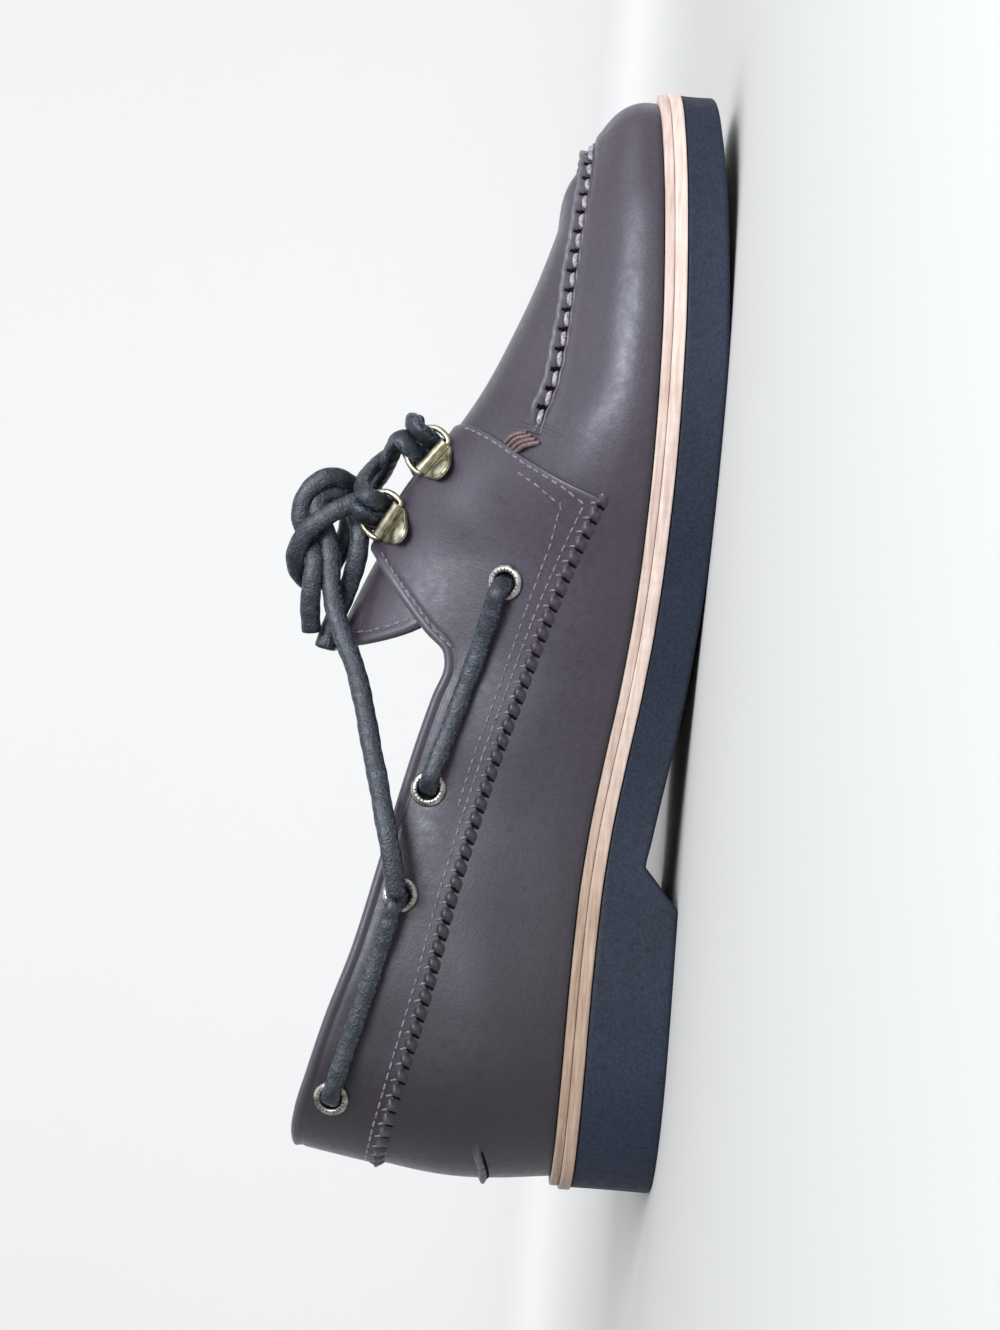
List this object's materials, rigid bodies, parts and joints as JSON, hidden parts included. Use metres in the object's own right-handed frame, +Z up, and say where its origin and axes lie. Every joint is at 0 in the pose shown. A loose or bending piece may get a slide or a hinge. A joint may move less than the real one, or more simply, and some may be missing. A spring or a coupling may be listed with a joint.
{
  "type": "boat shoe",
  "caption": "Low left boat shoe in smooth leather with a moccasin toe, stitched saddle, eyelets and thong lacing through D-ring hooks, on a heeled rubber sole.",
  "frame": {"origin": "on the floor under the middle of the shoe's box", "axes": "+X to the toe, +Y to the wearer's left (the lateral side of this left shoe), +Z up"},
  "size_m": [0.3012, 0.1061, 0.1139],
  "materials": {
    "upper": "smooth aubergine brown waxed leather",
    "outsole": "matt navy rubber with a dark worn tread face",
    "midsole": "natural tan edge, slightly darker at the heel",
    "welt": "natural tan",
    "insole": "brown leather sock",
    "eyelets": "antique brass",
    "hooks": "antique brass, worn bright on the edges",
    "laces": "blue-black waxed thong"
  },
  "bodies": {
    "root": {"outsole": "outsole", "midsole": "midsole", "welt": "welt", "insole": "insole", "upper": "upper", "tongue": "upper", "eyelet_medial_1": "eyelets", "eyelet_medial_2": "eyelets", "eyelet_medial_3": "eyelets", "eyelet_medial_4": "eyelets", "eyelet_lateral_1": "eyelets", "eyelet_lateral_2": "eyelets", "eyelet_lateral_3": "eyelets", "eyelet_lateral_4": "eyelets", "hook_plate_medial_1": "hooks", "d_ring_medial_1": "hooks", "hook_plate_medial_2": "hooks", "d_ring_medial_2": "hooks", "hook_plate_lateral_1": "hooks", "d_ring_lateral_1": "hooks", "hook_plate_lateral_2": "hooks", "d_ring_lateral_2": "hooks", "side_lace_medial_front": "laces", "side_lace_medial_back": "laces", "side_lace_lateral_front": "laces", "side_lace_lateral_back": "laces", "lace_crossing": "laces", "knot": "laces", "lace_end_long": "laces", "lace_end_short_upper": "laces", "lace_end_short_lower": "laces"}
  },
  "joints": []
}
